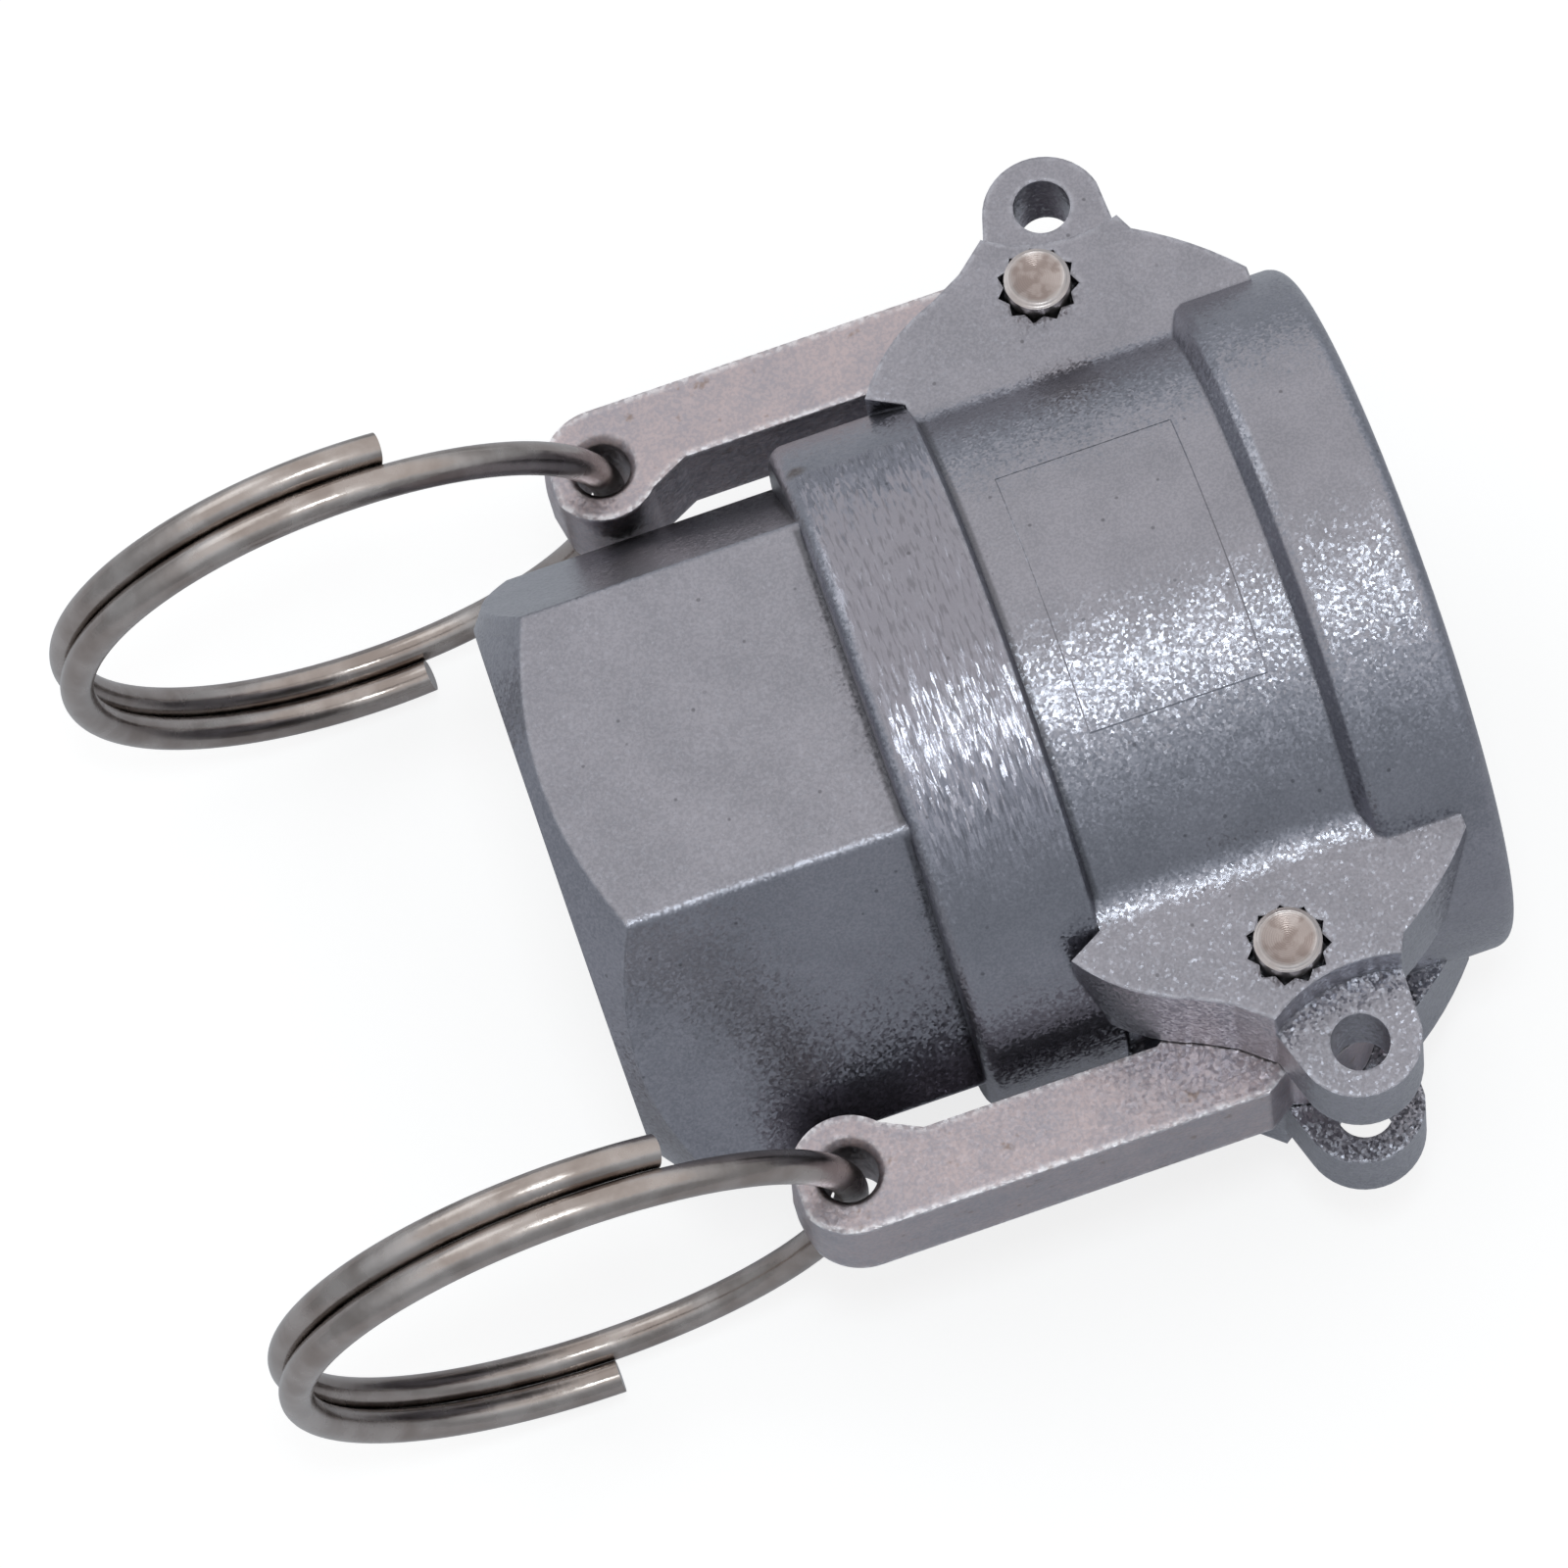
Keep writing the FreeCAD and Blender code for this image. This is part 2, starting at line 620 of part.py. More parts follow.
# Every object is sound before anything is written
for item in doc.Objects:
    if "Invalid" in item.State or "Error" in item.State:
        raise RuntimeError(f"{item.Label} did not compute: {item.State}")
for piece in pieces:
    shape = piece.Shape
    if shape.isNull() or not shape.isValid() or len(shape.Solids) != 1:
        raise RuntimeError(f"{piece.Label} is not one sound solid")

os.makedirs("parts", exist_ok=True)
for piece in pieces:
    piece.Shape.exportStep(f"parts/{piece.Label}.step")
    box = piece.Shape.BoundBox
    print(piece.Label, round(piece.Shape.Volume, 2), box)
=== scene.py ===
import math

import bmesh
import bpy
from mathutils import Matrix, Vector


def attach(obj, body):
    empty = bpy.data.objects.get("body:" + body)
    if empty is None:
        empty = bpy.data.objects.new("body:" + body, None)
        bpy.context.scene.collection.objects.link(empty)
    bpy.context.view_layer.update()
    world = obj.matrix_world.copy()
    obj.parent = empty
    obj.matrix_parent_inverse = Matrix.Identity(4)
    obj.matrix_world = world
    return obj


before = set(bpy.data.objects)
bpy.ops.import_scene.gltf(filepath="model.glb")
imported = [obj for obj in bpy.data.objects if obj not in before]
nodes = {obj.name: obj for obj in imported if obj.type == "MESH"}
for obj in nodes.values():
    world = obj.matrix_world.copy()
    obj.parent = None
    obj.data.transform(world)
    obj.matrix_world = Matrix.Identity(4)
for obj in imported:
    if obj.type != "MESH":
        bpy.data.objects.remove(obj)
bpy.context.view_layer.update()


# Coupler body: one stainless investment casting, blasted to an even grey with a fine sparkle.
# Its collar is ground on a belt, which leaves short scratches round the bore, and the faint
# outline of the mould's marking insert shows on the barrel.

def shader_tree(name):
    """Material with an empty node tree, ready for this object's own shaders."""
    material = bpy.data.materials.new(name)
    material.use_nodes = True
    material.node_tree.nodes.clear()
    return material, material.node_tree


def put(tree, kind, **sockets):
    """One node, with its sockets set to numbers or fed by another node's socket."""
    made = tree.nodes.new(kind)
    for name, content in sockets.items():
        feed(tree, made, name.replace("_", " "), content)
    return made


def feed(tree, made, name, content):
    """A number, or another node's socket, into the named or numbered socket."""
    if isinstance(name, int):
        socket = made.inputs[name]
    else:
        socket = next(socket for socket in made.inputs if socket.name == name)
    if isinstance(content, bpy.types.NodeSocket):
        tree.links.new(content, socket)
    else:
        socket.default_value = content


def reckon(tree, operation, *values):
    """A sum on one or two numbers or sockets."""
    made = tree.nodes.new("ShaderNodeMath")
    made.operation = operation
    for index, content in enumerate(values):
        feed(tree, made, index, content)
    return made.outputs[0]


def square_sum(tree, first, second):
    """Sum of two squares, for the distance from a middle."""
    first_square = reckon(tree, "MULTIPLY", first, first)
    return reckon(tree, "ADD", first_square, reckon(tree, "MULTIPLY", second, second))


def ramp(tree, factor, low, high, low_out=0.0, high_out=1.0):
    """Smooth change of a number between two levels."""
    made = tree.nodes.new("ShaderNodeMapRange")
    made.interpolation_type = "SMOOTHSTEP"
    for index, content in enumerate((factor, low, high, low_out, high_out)):
        feed(tree, made, index, content)
    return made.outputs[0]


def overlap(tree, *masks):
    """Where all the masks meet."""
    shared = masks[0]
    for mask in masks[1:]:
        shared = reckon(tree, "MULTIPLY", shared, mask)
    return shared


def band(tree, level, low, high, soft):
    """Mask between two levels, with a soft edge inside each."""
    return overlap(tree, ramp(tree, level, low, low + soft), ramp(tree, level, high, high - soft))


def tint(tree, factor, first, second):
    """Colour between two colours."""
    made = tree.nodes.new("ShaderNodeMix")
    made.data_type = "RGBA"
    feed(tree, made, 0, factor)
    feed(tree, made, 6, first)
    feed(tree, made, 7, second)
    return made.outputs[2]


def lean(tree, normal, tilt):
    """Normal pushed over by a small tilt."""
    pushed = tree.nodes.new("ShaderNodeVectorMath")
    feed(tree, pushed, 0, normal)
    feed(tree, pushed, 1, tilt)
    level = tree.nodes.new("ShaderNodeVectorMath")
    level.operation = "NORMALIZE"
    feed(tree, level, 0, pushed.outputs[0])
    return level.outputs[0]


def facet_tilt(tree, place, scale, amount):
    """Random tilt, one for each little facet."""
    facets = put(tree, "ShaderNodeTexVoronoi", Vector=place, Scale=scale)
    centred = tree.nodes.new("ShaderNodeVectorMath")
    centred.operation = "SUBTRACT"
    feed(tree, centred, 0, facets.outputs["Color"])
    centred.inputs[1].default_value = (0.5, 0.5, 0.5)
    scaled = tree.nodes.new("ShaderNodeVectorMath")
    scaled.operation = "SCALE"
    feed(tree, scaled, 0, centred.outputs[0])
    feed(tree, scaled, 3, amount)
    return scaled.outputs[0]


def new_effect(name, inputs, outputs):
    """Empty shader group with named numbers in, and named numbers or directions out."""
    group = bpy.data.node_groups.new(name, "ShaderNodeTree")
    for label, level in inputs:
        socket = group.interface.new_socket(name=label, in_out="INPUT",
                                            socket_type="NodeSocketFloat")
        socket.default_value = level
    for label in outputs:
        kind = "NodeSocketVector" if label == "Tilt" else "NodeSocketFloat"
        group.interface.new_socket(name=label, in_out="OUTPUT", socket_type=kind)
    return group, group.nodes.new("NodeGroupInput").outputs, group.nodes.new("NodeGroupOutput")


def effect(tree, group, **levels):
    """One of the shader groups, placed in a material with its own numbers."""
    made = tree.nodes.new("ShaderNodeGroup")
    made.node_tree = group
    for name, content in levels.items():
        feed(tree, made, name.replace("_", " "), content)
    return made.outputs


# Grain of a blasted casting: little facets that each lean their own way, shallow pits and a mottle
cast_grain, given, result = new_effect(
    "cast grain", [("Grains per Metre", 6000.0), ("Lean", 0.235), ("Mottles per Metre", 240.0)],
    ["Height", "Tilt", "Mottle"])
place = put(cast_grain, "ShaderNodeTexCoord").outputs["Object"]
pits = put(cast_grain, "ShaderNodeTexNoise", Vector=place, Scale=given["Grains per Metre"],
           Detail=2.0)
cloud = put(cast_grain, "ShaderNodeTexNoise", Vector=place, Scale=given["Mottles per Metre"],
            Detail=4.0, Roughness=0.6)
slow_mottle = ramp(cast_grain, cloud.outputs[0], 0.3, 0.7, 0.0, 0.5)
fine_mottle = ramp(cast_grain, pits.outputs[0], 0.42, 0.58, 0.0, 0.5)
feed(cast_grain, result, "Height", pits.outputs[0])
feed(cast_grain, result, "Tilt",
     facet_tilt(cast_grain, place, given["Grains per Metre"], given["Lean"]))
feed(cast_grain, result, "Mottle", reckon(cast_grain, "ADD", slow_mottle, fine_mottle))

# Bright line along every outer edge: partly polish from tumbling and handling, partly a painted
# highlight where edges catch the light
worn_edge_and_glint, given, result = new_effect(
    "worn edge and painted glint", [("Reach", 0.0004), ("Breaks per Metre", 1900.0)], ["Edge"])
inside = put(worn_edge_and_glint, "ShaderNodeAmbientOcclusion", Distance=given["Reach"])
inside.inside = True
inside.samples = 2
place = put(worn_edge_and_glint, "ShaderNodeTexCoord").outputs["Object"]
breaks = put(worn_edge_and_glint, "ShaderNodeTexNoise", Vector=place, Scale=given["Breaks per Metre"],
             Detail=1.0)
line = ramp(worn_edge_and_glint, inside.outputs["AO"], 0.9, 0.6)
broken = ramp(worn_edge_and_glint, breaks.outputs[0], 0.42, 0.62, 0.25, 1.0)
feed(worn_edge_and_glint, result, "Edge", overlap(worn_edge_and_glint, line, broken))

# Painted shade that gathers in grooves, corners and under the ears, darker where the surface is
# more hemmed in
painted_corner_shade, given, result = new_effect("painted corner shade", [("Reach", 0.002)], ["Painted Shade"])
corner = put(painted_corner_shade, "ShaderNodeAmbientOcclusion", Distance=given["Reach"])
corner.samples = 3
feed(painted_corner_shade, result, "Painted Shade", ramp(painted_corner_shade, corner.outputs["AO"], 0.5, 0.1, 0.0, 0.8))

collar_back, collar_front, collar_radius = -0.0318, -0.0237, 0.0203
collar_fade = 0.0005
ground_from, ground_to = math.radians(-52), math.radians(42)
scratch_wrap, scratch_height = 0.0036, 3.0
panel_back, panel_front, panel_edge = -0.0209, -0.0102, 0.00012
panel_low, panel_high, panel_side_edge = math.radians(-25), math.radians(25), 0.006
panel_skin, panel_height = 0.0193, 3.5
step_feet = (-0.03245, -0.02335, -0.00755)
foot_skin, foot_half_width = 0.01975, 0.00034
ear_back, ear_inside = -0.026, 0.0175
ear_fade, plain_lean, ear_lean = 0.001, 0.235, 0.31
stain_spot = (-0.0313, 0.0139, 0.0150)
stain_inside, stain_outside = 0.0002, 0.0009
cast_grey = (0.325, 0.316, 0.352, 1.0)
cast_dull = (0.252, 0.249, 0.278, 1.0)
cast_wear_and_glint = (0.62, 0.62, 0.68, 1.0)
ground_grey = (0.280, 0.270, 0.306, 1.0)
dark_marks_and_shade_grey = (0.055, 0.055, 0.060, 1.0)
stain_brown = (0.12, 0.085, 0.07, 1.0)

blasted_steel, tree = shader_tree("blasted cast steel")
edge = effect(tree, worn_edge_and_glint, Reach=0.0004, Breaks_per_Metre=1900.0)["Edge"]
corner_shade = effect(tree, painted_corner_shade, Reach=0.0024)["Painted Shade"]
place = put(tree, "ShaderNodeTexCoord").outputs["Object"]
x, y, z = put(tree, "ShaderNodeSeparateXYZ", Vector=place).outputs
around = reckon(tree, "ARCTAN2", y, z)
radius = reckon(tree, "SQRT", square_sum(tree, y, z))
sideways = reckon(tree, "ABSOLUTE", y)

# The ears' faces are a little rougher than the rest of the skin
ears = overlap(tree, ramp(tree, x, ear_back - ear_fade / 2, ear_back + ear_fade / 2),
               ramp(tree, sideways, ear_inside - ear_fade, ear_inside + ear_fade))
grain = effect(tree, cast_grain, Grains_per_Metre=6000.0, Mottles_per_Metre=240.0,
               Lean=ramp(tree, ears, 0.0, 1.0, plain_lean, ear_lean))

# Belt-ground land of the collar, with scratches that run round the bore
ground = overlap(tree, band(tree, x, collar_back, collar_front, collar_fade),
                 ramp(tree, radius, collar_radius - 0.0001, collar_radius + 0.0001),
                 ramp(tree, around, ground_to, ground_to - 0.03),
                 ramp(tree, around, ground_from, ground_from + 0.45))
unrolled = reckon(tree, "MULTIPLY", around, scratch_wrap)
belt_place = put(tree, "ShaderNodeCombineXYZ", X=x, Y=unrolled, Z=0.0).outputs[0]
scratches = put(tree, "ShaderNodeTexNoise", Vector=belt_place, Scale=5000.0, Detail=1.0).outputs[0]
rubs = put(tree, "ShaderNodeTexNoise", Vector=belt_place, Scale=1800.0, Detail=2.0).outputs[0]

# Edge of the mould's marking insert, a hair proud of the barrel
insert = overlap(tree, band(tree, x, panel_back, panel_front, panel_edge),
                 band(tree, around, panel_low, panel_high, panel_side_edge),
                 ramp(tree, radius, panel_skin - 0.0001, panel_skin + 0.0001))
outline = overlap(tree, insert, reckon(tree, "SUBTRACT", 1.0, insert),
                  ramp(tree, around, panel_low + 0.02, panel_low + 0.25, 0.6, 2.4))

# Painted shade: a dark line in the foot of each step
foot_shade = 0.0
for foot in step_feet:
    off = reckon(tree, "ABSOLUTE", reckon(tree, "SUBTRACT", x, foot))
    foot_shade = reckon(tree, "MAXIMUM", foot_shade, ramp(tree, off, foot_half_width, 0.00008))
foot_shade = overlap(tree, foot_shade,
                    ramp(tree, radius, foot_skin + 0.00015, foot_skin - 0.00015, 0.0, 0.62))

# Small pocks left by the mould in some places
pocks = put(tree, "ShaderNodeTexVoronoi", Vector=place, Scale=750.0)
chosen = put(tree, "ShaderNodeSeparateXYZ", Vector=pocks.outputs["Color"]).outputs[0]
pock = overlap(tree, ramp(tree, pocks.outputs["Distance"], 0.12, 0.06),
               ramp(tree, chosen, 0.6, 0.7, 0.0, 0.5))

# Brown spot of rust on the collar's edge
stain = put(tree, "ShaderNodeVectorMath", Vector=place)
stain.operation = "DISTANCE"
stain.inputs[1].default_value = stain_spot

height = reckon(tree, "ADD", grain["Height"], reckon(tree, "MULTIPLY", insert, panel_height))
scored = overlap(tree, ground, reckon(tree, "MULTIPLY", scratches, scratch_height))
height = reckon(tree, "ADD", height, scored)
softened = put(tree, "ShaderNodeBevel", Radius=0.0003)
softened.samples = 2
relief = put(tree, "ShaderNodeBump", Strength=1.0, Distance=0.000008, Height=height,
             Normal=softened.outputs[0])
tilt = tree.nodes.new("ShaderNodeMix")
tilt.data_type = "VECTOR"
feed(tree, tilt, 0, ground)
feed(tree, tilt, 4, grain["Tilt"])
feed(tree, tilt, 5, facet_tilt(tree, belt_place, 7000.0, 0.26))
colour = tint(tree, grain["Mottle"], cast_dull, cast_grey)
rubbed = overlap(tree, ground, ramp(tree, rubs, 0.3, 0.7, 1.0, 0.6))
colour = tint(tree, rubbed, colour, ground_grey)
dark_scratches = overlap(tree, ground, ramp(tree, scratches, 0.5, 0.68, 0.0, 0.3))
colour = tint(tree, dark_scratches, colour, dark_marks_and_shade_grey)
# The insert's outline and the painted shade in the steps' feet, both in the dark grey
colour = tint(tree, reckon(tree, "MAXIMUM", outline, foot_shade), colour, dark_marks_and_shade_grey)
rust = ramp(tree, stain.outputs["Value"], stain_outside, stain_inside, 0.0, 0.75)
colour = tint(tree, rust, colour, stain_brown)
# Painted shade in hollows and corners, together with the mould's pocks
colour = tint(tree, reckon(tree, "MAXIMUM", corner_shade, pock), colour, dark_marks_and_shade_grey)
# Outer edges lightened, partly polish and partly painted highlight
colour = tint(tree, reckon(tree, "MULTIPLY", edge, 0.5), colour, cast_wear_and_glint)
surface = put(tree, "ShaderNodeBsdfPrincipled", Base_Color=colour, Metallic=1.0,
              Roughness=ramp(tree, ground, 0.0, 1.0, 0.29, 0.26),
              Normal=lean(tree, relief.outputs[0], tilt.outputs[1]))
put(tree, "ShaderNodeOutputMaterial", Surface=surface.outputs[0])
nodes["coupler_body"].data.materials.clear()
nodes["coupler_body"].data.materials.append(blasted_steel)


# Pipe thread: taper thread cut in the hexagon's bore, one ridge wound along the hole.
# It is turned from the casting, so it is brighter and smoother than the blasted skin.

thread_major = 0.01318
thread_minor = 0.01205
thread_pitch = 0.001814
thread_start = -0.0508
thread_turns = 8
root_share, crest_share = 0.46, 0.06
steps_per_turn = 72

mesh = bpy.data.meshes.new("pipe_thread_ridge")
shape = bmesh.new()
rows = []
for step in range(steps_per_turn * thread_turns + 1):
    turn = step / steps_per_turn
    angle = 2 * math.pi * turn
    fade = min(1.0, turn * 2, (thread_turns - turn) * 2)
    crest = thread_major - (thread_major - thread_minor) * fade
    section = ((-root_share, thread_major), (-crest_share, crest), (crest_share, crest),
               (root_share, thread_major))
    row = []
    for offset, distance in section:
        row.append(shape.verts.new((
            thread_start + (turn + offset) * thread_pitch,
            distance * math.cos(angle),
            distance * math.sin(angle),
        )))
    rows.append(row)
for near, far in zip(rows, rows[1:]):
    for index in range(4):
        following = (index + 1) % 4
        shape.faces.new((near[index], near[following], far[following], far[index]))
shape.faces.new(rows[0])
shape.faces.new(list(reversed(rows[-1])))
bmesh.ops.recalc_face_normals(shape, faces=shape.faces)
shape.to_mesh(mesh)
shape.free()
thread = bpy.data.objects.new("pipe_thread_ridge", mesh)
bpy.context.scene.collection.objects.link(thread)

turned_dark = (0.30, 0.29, 0.29, 1.0)
turned_light = (0.50, 0.48, 0.47, 1.0)

turned_steel, tree = shader_tree("turned steel")
place = put(tree, "ShaderNodeTexCoord").outputs["Object"]
cloud = put(tree, "ShaderNodeTexNoise", Vector=place, Scale=700.0, Detail=3.0)
colour = tint(tree, cloud.outputs[0], turned_dark, turned_light)
relief = put(tree, "ShaderNodeBump", Strength=0.2, Distance=0.00005, Height=cloud.outputs[0])
surface = put(tree, "ShaderNodeBsdfPrincipled", Base_Color=colour, Metallic=1.0, Roughness=0.3,
              Normal=relief.outputs[0])
put(tree, "ShaderNodeOutputMaterial", Surface=surface.outputs[0])
mesh.materials.append(turned_steel)
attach(thread, "body")


# Gasket: moulded black rubber ring, matt with a faint bloom, pushed into its groove by hand.

rubber_black = (0.012, 0.012, 0.013, 1.0)
rubber_bloom = (0.035, 0.035, 0.036, 1.0)

black_rubber, tree = shader_tree("black rubber")
place = put(tree, "ShaderNodeTexCoord").outputs["Object"]
bloom = put(tree, "ShaderNodeTexNoise", Vector=place, Scale=400.0, Detail=5.0)
colour = tint(tree, ramp(tree, bloom.outputs[0], 0.35, 0.75), rubber_black, rubber_bloom)
relief = put(tree, "ShaderNodeBump", Strength=0.3, Distance=0.0001, Height=bloom.outputs[0])
surface = put(tree, "ShaderNodeBsdfPrincipled", Base_Color=colour, Metallic=0.0,
              Roughness=ramp(tree, bloom.outputs[0], 0.3, 0.8, 0.5, 0.75), Normal=relief.outputs[0])
put(tree, "ShaderNodeOutputMaterial", Surface=surface.outputs[0])
nodes["gasket"].data.materials.clear()
nodes["gasket"].data.materials.append(black_rubber)


# Hinge pins: turned stainless rod, pressed through both ears with a slightly proud near end. The
# end is warm, a little dished, finely ringed by the tool that faced it, and carries a painted
# highlight round its rim.

pin_line, pin_offset = -0.01405, 0.02175
pin_brown = (0.285, 0.230, 0.212, 1.0)
pin_light = (0.375, 0.315, 0.295, 1.0)
pin_rim_highlight = (0.56, 0.52, 0.51, 1.0)
pin_shade = (0.05, 0.045, 0.04, 1.0)
pin_wear_and_glint = (0.70, 0.66, 0.64, 1.0)
tool_rings, ring_depth, dish_depth = 48000.0, 0.06, 2400000.0
rim_inside, rim_outside = 0.00135, 0.0017

faced_pin, tree = shader_tree("faced pin")
place = put(tree, "ShaderNodeTexCoord").outputs["Object"]
x, y, z = put(tree, "ShaderNodeSeparateXYZ", Vector=place).outputs
along = reckon(tree, "SUBTRACT", x, pin_line)
beside = reckon(tree, "SUBTRACT", reckon(tree, "ABSOLUTE", y), pin_offset)
reach_squared = square_sum(tree, along, beside)
dish = reckon(tree, "MULTIPLY", reach_squared, dish_depth)
reach = reckon(tree, "SQRT", reach_squared)
rings = reckon(tree, "SINE", reckon(tree, "MULTIPLY", reach, tool_rings))
rings = reckon(tree, "MULTIPLY", rings, ring_depth)
cloud = put(tree, "ShaderNodeTexNoise", Vector=place, Scale=1100.0, Detail=3.0).outputs[0]
edge = effect(tree, worn_edge_and_glint, Reach=0.0003, Breaks_per_Metre=900.0)["Edge"]
corner_shade = effect(tree, painted_corner_shade, Reach=0.0009)["Painted Shade"]
colour = tint(tree, ramp(tree, cloud, 0.42, 0.58), pin_brown, pin_light)
# Painted highlight: a light ring round the rim of the pin's end
colour = tint(tree, ramp(tree, reach, rim_inside, rim_outside, 0.0, 0.5), colour, pin_rim_highlight)
# Painted shade in corners
colour = tint(tree, corner_shade, colour, pin_shade)
# Edges lightened, partly polish and partly painted highlight
colour = tint(tree, reckon(tree, "MULTIPLY", edge, 0.6), colour, pin_wear_and_glint)
height = reckon(tree, "ADD", reckon(tree, "ADD", rings, dish), cloud)
relief = put(tree, "ShaderNodeBump", Strength=1.0, Distance=0.00005, Height=height)
surface = put(tree, "ShaderNodeBsdfPrincipled", Base_Color=colour, Metallic=1.0,
              Roughness=ramp(tree, cloud, 0.3, 0.7, 0.30, 0.42), Normal=relief.outputs[0])
put(tree, "ShaderNodeOutputMaterial", Surface=surface.outputs[0])
for name in ("hinge_pin_left", "hinge_pin_right"):
    nodes[name].data.materials.clear()
    nodes[name].data.materials.append(faced_pin)


# Cam arms: flat investment castings, tumbled to a warm satin, with a bright dotted line along every
# outer edge, partly polish and partly painted highlight. Each turns on its pin between two ears.

arm_warm = (0.475, 0.400, 0.410, 1.0)
arm_cool = (0.350, 0.325, 0.358, 1.0)
arm_wear_and_glint = (0.95, 0.93, 0.95, 1.0)
arm_shade = (0.075, 0.065, 0.058, 1.0)
arm_brown = (0.26, 0.19, 0.155, 1.0)

satin_steel, tree = shader_tree("satin cast steel")
grain = effect(tree, cast_grain, Grains_per_Metre=4600.0, Lean=0.12, Mottles_per_Metre=420.0)
edge = effect(tree, worn_edge_and_glint, Reach=0.0005, Breaks_per_Metre=2400.0)["Edge"]
corner_shade = effect(tree, painted_corner_shade, Reach=0.0014)["Painted Shade"]
place = put(tree, "ShaderNodeTexCoord").outputs["Object"]
patches = put(tree, "ShaderNodeTexNoise", Vector=place, Scale=750.0, Detail=3.0,
              Roughness=0.6).outputs[0]
softened = put(tree, "ShaderNodeBevel", Radius=0.0005)
softened.samples = 2
relief = put(tree, "ShaderNodeBump", Strength=0.8, Distance=0.000015, Height=grain["Height"],
             Normal=softened.outputs[0])
colour = tint(tree, grain["Mottle"], arm_cool, arm_warm)
colour = tint(tree, ramp(tree, patches, 0.62, 0.74, 0.0, 0.7), colour, arm_brown)
# Painted shade in corners
colour = tint(tree, corner_shade, colour, arm_shade)
# Edges lightened, partly polish and partly painted highlight
colour = tint(tree, reckon(tree, "MULTIPLY", edge, 0.9), colour, arm_wear_and_glint)
surface = put(tree, "ShaderNodeBsdfPrincipled", Base_Color=colour, Metallic=1.0,
              Roughness=ramp(tree, patches, 0.35, 0.65, 0.28, 0.36),
              Normal=lean(tree, relief.outputs[0], grain["Tilt"]))
put(tree, "ShaderNodeOutputMaterial", Surface=surface.outputs[0])
for name in ("cam_arm_left", "cam_arm_right"):
    nodes[name].data.materials.clear()
    nodes[name].data.materials.append(satin_steel)


# Pull rings: hard drawn stainless wire, coiled like a key ring and threaded through the arm. The
# wire is polished, with faint cloudy marks and painted shade where its turns meet.

wire_dark = (0.31, 0.262, 0.238, 1.0)
wire_light = (0.45, 0.40, 0.375, 1.0)
wire_shade = (0.10, 0.08, 0.06, 1.0)

polished_wire, tree = shader_tree("polished wire")
place = put(tree, "ShaderNodeTexCoord").outputs["Object"]
cloud = put(tree, "ShaderNodeTexNoise", Vector=place, Scale=350.0, Detail=4.0)
specks = put(tree, "ShaderNodeTexNoise", Vector=place, Scale=2500.0, Detail=2.0)
corner_shade = effect(tree, painted_corner_shade, Reach=0.0012)["Painted Shade"]
colour = tint(tree, ramp(tree, cloud.outputs[0], 0.3, 0.7), wire_dark, wire_light)
# Painted shade where the turns meet
colour = tint(tree, corner_shade, colour, wire_shade)
relief = put(tree, "ShaderNodeBump", Strength=0.12, Distance=0.00005, Height=specks.outputs[0])
surface = put(tree, "ShaderNodeBsdfPrincipled", Base_Color=colour, Metallic=1.0,
              Roughness=ramp(tree, cloud.outputs[0], 0.3, 0.7, 0.2, 0.3), Normal=relief.outputs[0])
put(tree, "ShaderNodeOutputMaterial", Surface=surface.outputs[0])
for name in ("pull_ring_left", "pull_ring_right"):
    nodes[name].data.materials.clear()
    nodes[name].data.materials.append(polished_wire)


# Studio: white table, a small lamp above, a weaker one beside it, and glowing grey cards that the
# camera doesn't see, which give the metal its shaded sides; a grey sheet on the table likewise
# shows only in reflections.

def seen_directly(tree):
    """One for what the camera, a reflection or glass sees, and nought for light on the object."""
    path = put(tree, "ShaderNodeLightPath")
    bounced = reckon(tree, "MAXIMUM", path.outputs["Is Glossy Ray"],
                     path.outputs["Is Transmission Ray"])
    return reckon(tree, "MAXIMUM", path.outputs["Is Camera Ray"], bounced)


table_height = -0.02115

white_table, tree = shader_tree("white table")
paper = put(tree, "ShaderNodeBsdfDiffuse", Color=(0.42, 0.42, 0.42, 1.0))
glow = put(tree, "ShaderNodeEmission", Color=(1.0, 1.0, 1.0, 1.0),
           Strength=reckon(tree, "MULTIPLY", seen_directly(tree), 0.74))
both = put(tree, "ShaderNodeAddShader")
feed(tree, both, 0, paper.outputs[0])
feed(tree, both, 1, glow.outputs[0])
put(tree, "ShaderNodeOutputMaterial", Surface=both.outputs[0])
bpy.ops.mesh.primitive_plane_add(size=6.0, location=(-0.04, 0, table_height))
table = bpy.context.object
table.name = "table"
table.data.materials.append(white_table)

world = bpy.data.worlds.new("studio")
bpy.context.scene.world = world
world.use_nodes = True
tree = world.node_tree
tree.nodes.clear()
sky = put(tree, "ShaderNodeBackground", Color=(1.0, 1.0, 1.0, 1.0),
          Strength=ramp(tree, seen_directly(tree), 0.0, 1.0, 0.6, 1.0))
put(tree, "ShaderNodeOutputWorld", Surface=sky.outputs[0])

lamp_white = (0.88, 1.0, 1.05)
lamp_aim = Vector((-0.025, 0, 0))
for label, spot, size, power in (
    ("lamp_above", (-0.03, -0.10, 0.42), 0.06, 0.24),
    ("lamp_beside", (-0.35, 0.45, 0.45), 0.30, 0.3),
):
    light = bpy.data.lights.new(label, "AREA")
    light.size = size
    light.energy = power
    light.color = lamp_white
    lamp = bpy.data.objects.new(label, light)
    lamp.location = spot
    lamp.rotation_euler = (lamp_aim - Vector(spot)).to_track_quat("-Z", "Y").to_euler()
    bpy.context.scene.collection.objects.link(lamp)
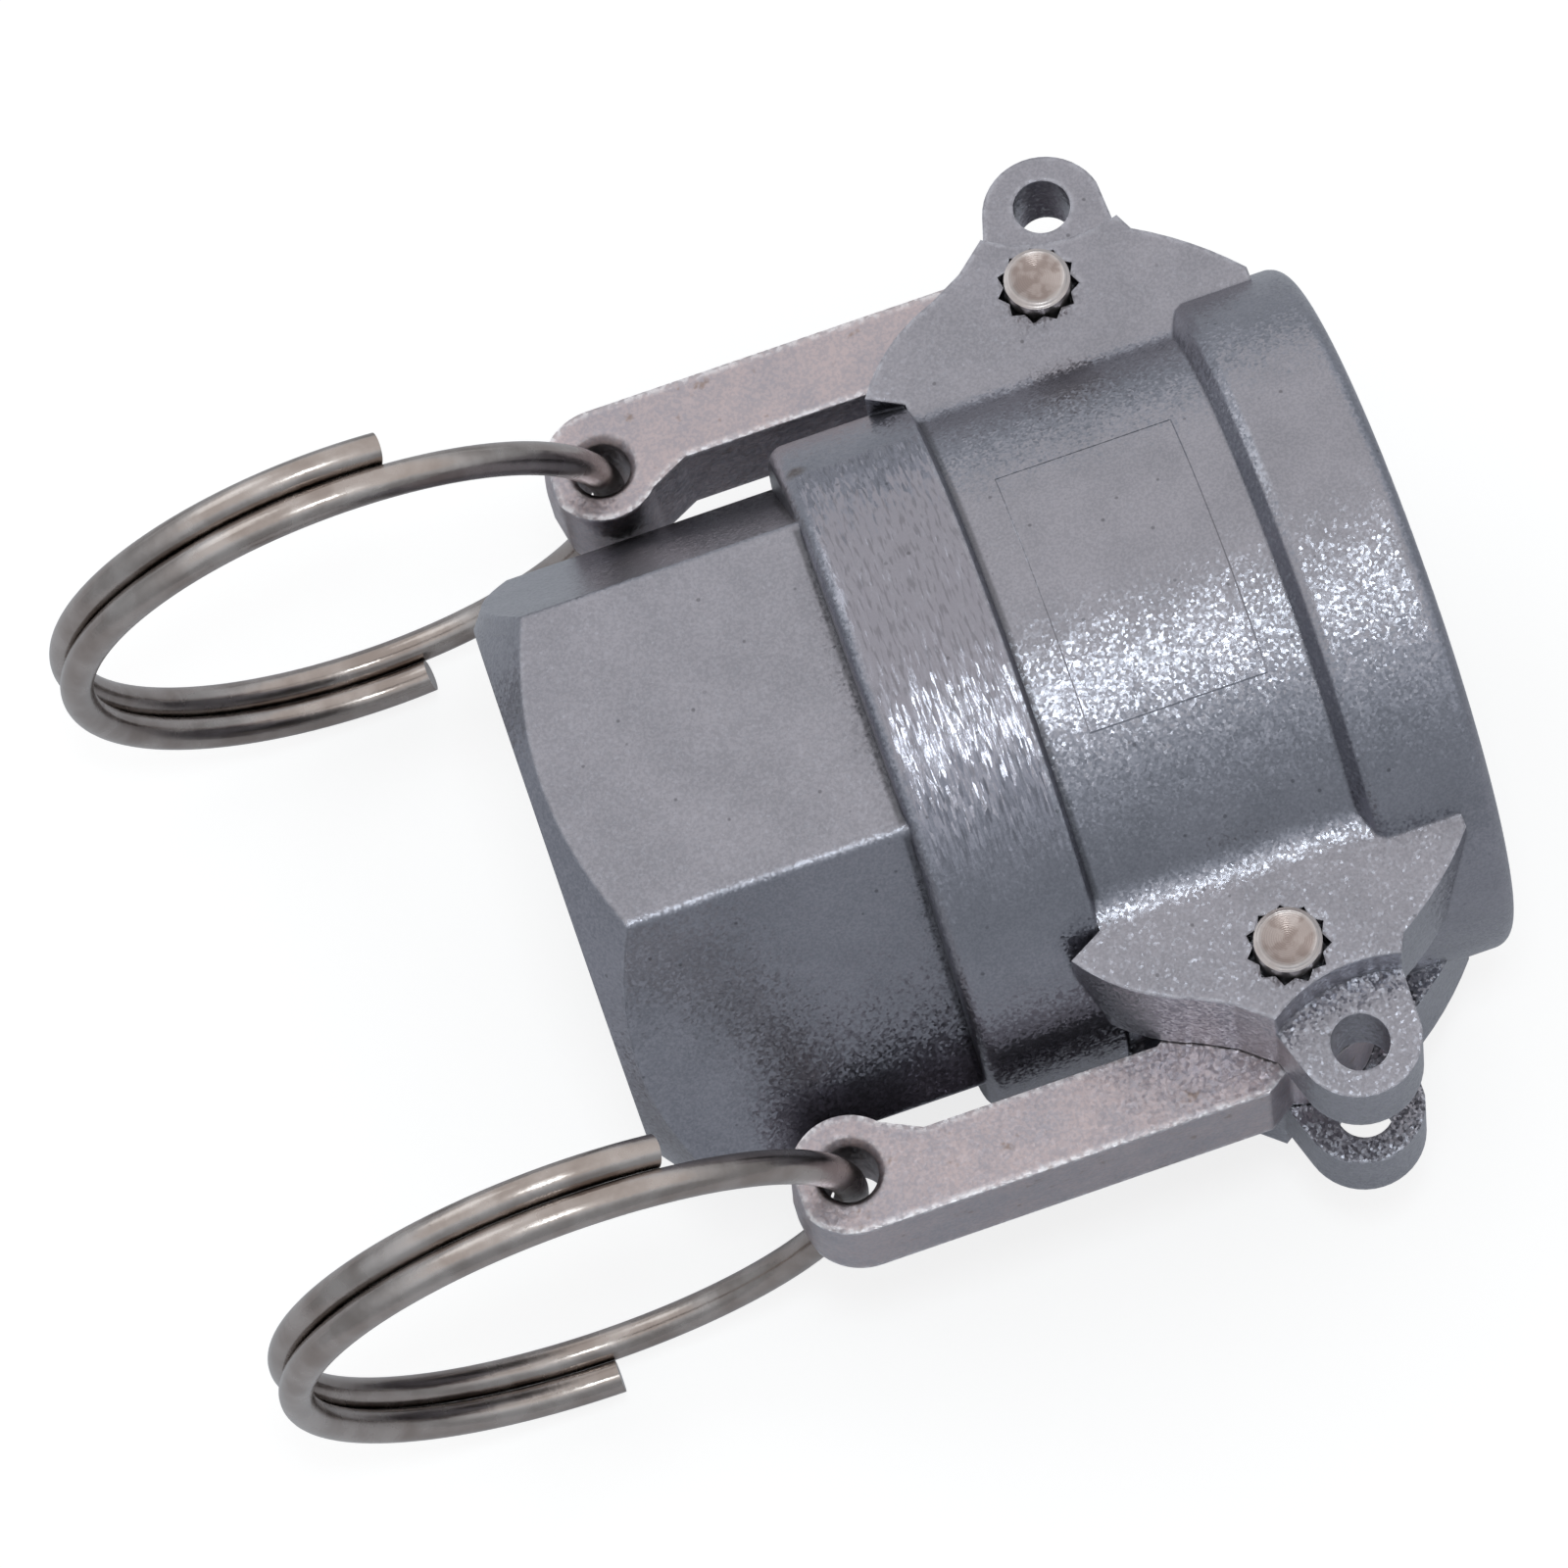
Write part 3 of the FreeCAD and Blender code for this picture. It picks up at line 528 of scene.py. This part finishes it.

# The cards glow, brighter towards their tops; the sheet is plain grey, lit like the table
grey_card, tree = shader_tree("grey card")
place = put(tree, "ShaderNodeTexCoord").outputs["Generated"]
height = put(tree, "ShaderNodeSeparateXYZ", Vector=place).outputs[2]
card_surface = put(tree, "ShaderNodeEmission", Color=(0.92, 1.01, 1.09, 1.0),
           Strength=ramp(tree, height, 0.3, 1.0, 0.47, 1.0))
put(tree, "ShaderNodeOutputMaterial", Surface=card_surface.outputs[0])
grey_sheet, tree = shader_tree("grey sheet")
card_surface = put(tree, "ShaderNodeBsdfDiffuse", Color=(0.76, 0.79, 0.84, 1.0))
put(tree, "ShaderNodeOutputMaterial", Surface=card_surface.outputs[0])
middle, away, card_lift = -0.035, 0.17, 0.0002
for label, corners, finish in (
    ("card_front", ((-0.5, -away), (0.5, -away), 0.30), grey_card),
    ("card_back", ((-0.5, away), (0.5, away), 0.06), grey_card),
    ("card_right", ((away, -0.5), (away, 0.5), 0.16), grey_card),
    ("card_left", ((-away, -0.5), (-away, 0.5), 0.16), grey_card),
    ("sheet_below", ((-0.4, -0.4), (0.4, 0.4), 0.0), grey_sheet),
):
    (x0, y0), (x1, y1), tall = corners
    low, high = table_height + card_lift, table_height + tall
    if tall:
        corners = [(x0, y0, low), (x1, y1, low), (x1, y1, high), (x0, y0, high)]
    else:
        corners = [(x0, y0, low), (x1, y0, low), (x1, y1, low), (x0, y1, low)]
    mesh = bpy.data.meshes.new(label)
    mesh.from_pydata(corners, [], [(0, 1, 2, 3)])
    mesh.materials.append(finish)
    card = bpy.data.objects.new(label, mesh)
    card.location = (middle, 0, 0)
    card.visible_camera = False
    card.visible_diffuse = False
    card.visible_shadow = False
    card.visible_transmission = False
    bpy.context.scene.collection.objects.link(card)


# Camera: close above the coupling and a little in front of it, turned so that the bore climbs
# to the right of the picture.

camera_data = bpy.data.cameras.new("camera")
camera_data.sensor_width = 36.0
camera_data.lens = 167.82
camera_data.clip_start = 0.01
camera = bpy.data.objects.new("camera", camera_data)
bpy.context.scene.collection.objects.link(camera)
turn = Matrix.Rotation(math.radians(19.545), 4, "Z")
nod = Matrix.Rotation(math.radians(-21.206), 4, "X")
roll = Matrix.Rotation(math.radians(1.627), 4, "Y")
camera_spot = Matrix.Translation((-0.04886, -0.15385, 0.40091))
camera.matrix_world = camera_spot @ (turn @ nod @ roll).transposed()
bpy.context.scene.camera = camera
bpy.context.scene.view_settings.view_transform = "Standard"
